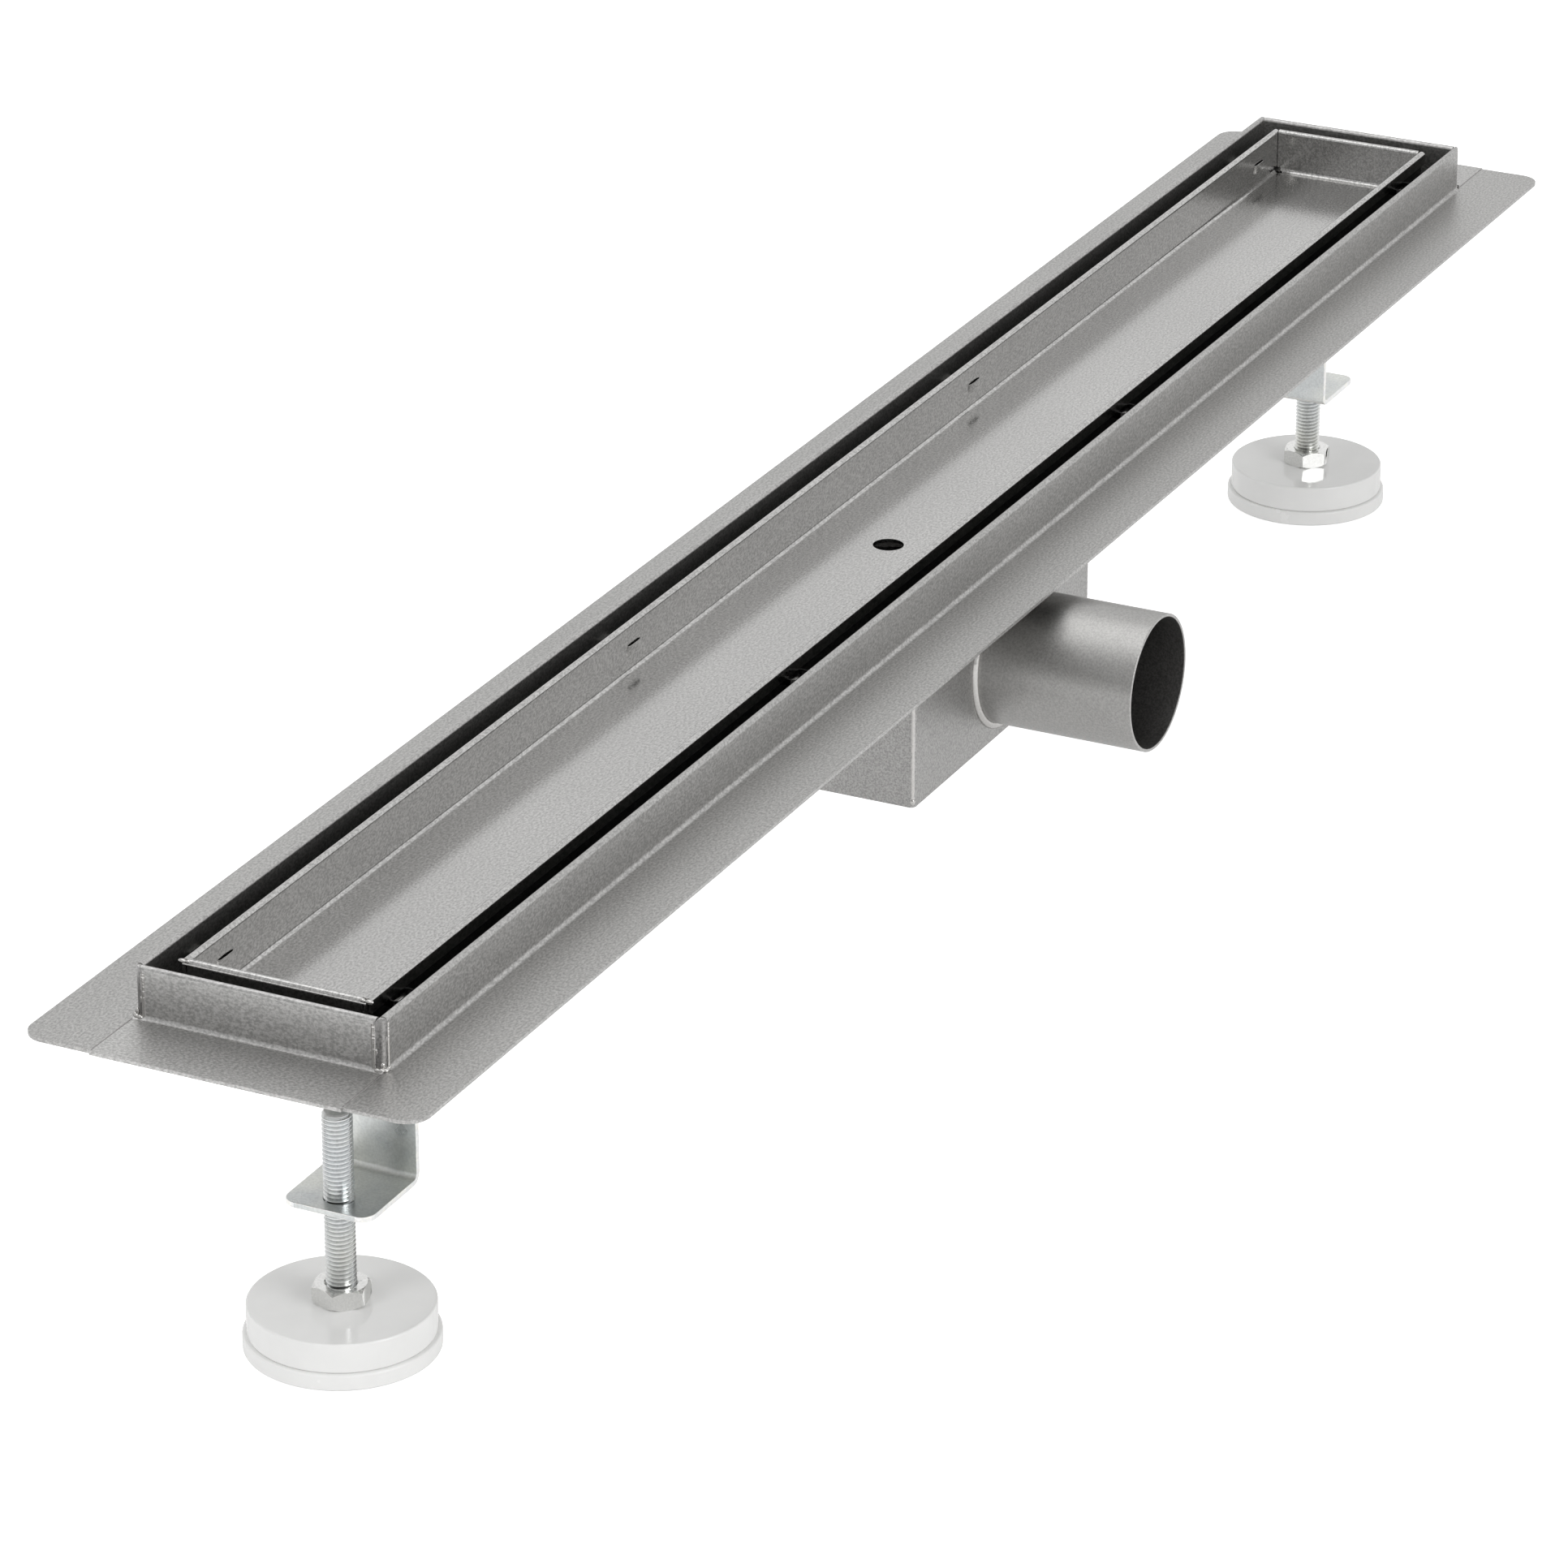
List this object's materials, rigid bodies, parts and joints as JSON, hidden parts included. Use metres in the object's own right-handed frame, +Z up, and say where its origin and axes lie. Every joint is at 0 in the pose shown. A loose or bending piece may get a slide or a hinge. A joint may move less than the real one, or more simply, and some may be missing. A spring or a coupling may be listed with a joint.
{
  "type": "linear shower drain",
  "caption": "Long stainless channel drain with a sealing flange, a tile tray, a side outlet box with a removable water trap, and height-adjusting screw feet.",
  "frame": {"origin": "centre of the lifting hole in the tile tray, level with the tray floor and the flange's top face", "axes": "+X along the channel, -Y the way the outlet points, +Z up"},
  "size_m": [0.958, 0.176, 0.1445],
  "materials": {
    "stainless_steel": "fine brushed",
    "zinc_plate": "bright zinc plate",
    "nickel_plate": "satin nickel plate",
    "pad_plastic": "glossy",
    "sole_plastic": "glossy",
    "trap_plastic": "moulded",
    "seal_rubber": "matt"
  },
  "bodies": {
    "drain": {"bracket_far": "zinc_plate", "bracket_near": "zinc_plate", "channel_body": "stainless_steel", "end_plate_far": "stainless_steel", "end_plate_near": "stainless_steel", "hair_strainer": "stainless_steel", "outlet_pipe": "stainless_steel", "stud_nut_far": "zinc_plate", "stud_nut_near": "zinc_plate", "tile_tray": "stainless_steel", "trap_cup": "trap_plastic", "trap_dip_tube": "trap_plastic", "trap_seal": "seal_rubber", "tray_foot_1": "stainless_steel", "tray_foot_2": "stainless_steel", "tray_foot_3": "stainless_steel", "tray_foot_4": "stainless_steel", "waste_box": "stainless_steel", "weld_stud_far": "stainless_steel", "weld_stud_near": "stainless_steel"},
    "near_foot": {"pad_near": "pad_plastic", "sole_near": "sole_plastic"},
    "near_screw": {"screw_near": "zinc_plate", "hex_near": "nickel_plate"},
    "far_foot": {"pad_far": "pad_plastic", "sole_far": "sole_plastic"},
    "far_screw": {"screw_far": "zinc_plate", "hex_far": "nickel_plate"}
  },
  "joints": [
    {"name": "near_screw_turn", "type": "hinge", "parent": "near_foot", "child": "near_screw", "pos_m": [-0.405, 0, -0.105], "axis": [0, 0, 1], "range_deg": [-6970, 5770]},
    {"name": "near_foot_height", "type": "slide", "parent": "drain", "child": "near_foot", "axis": [0, 0, 1], "range_m": [-0.029, 0.024]},
    {"name": "far_screw_turn", "type": "hinge", "parent": "far_foot", "child": "far_screw", "pos_m": [0.405, 0, -0.105], "axis": [0, 0, 1], "range_deg": [-6970, 5770]},
    {"name": "far_foot_height", "type": "slide", "parent": "drain", "child": "far_foot", "axis": [0, 0, 1], "range_m": [-0.029, 0.024]}
  ],
  "couplings": [
    {"joint": "near_screw_turn", "follows": "near_foot_height", "rad_per_m": 4188.8},
    {"joint": "far_screw_turn", "follows": "far_foot_height", "rad_per_m": 4188.8}
  ]
}
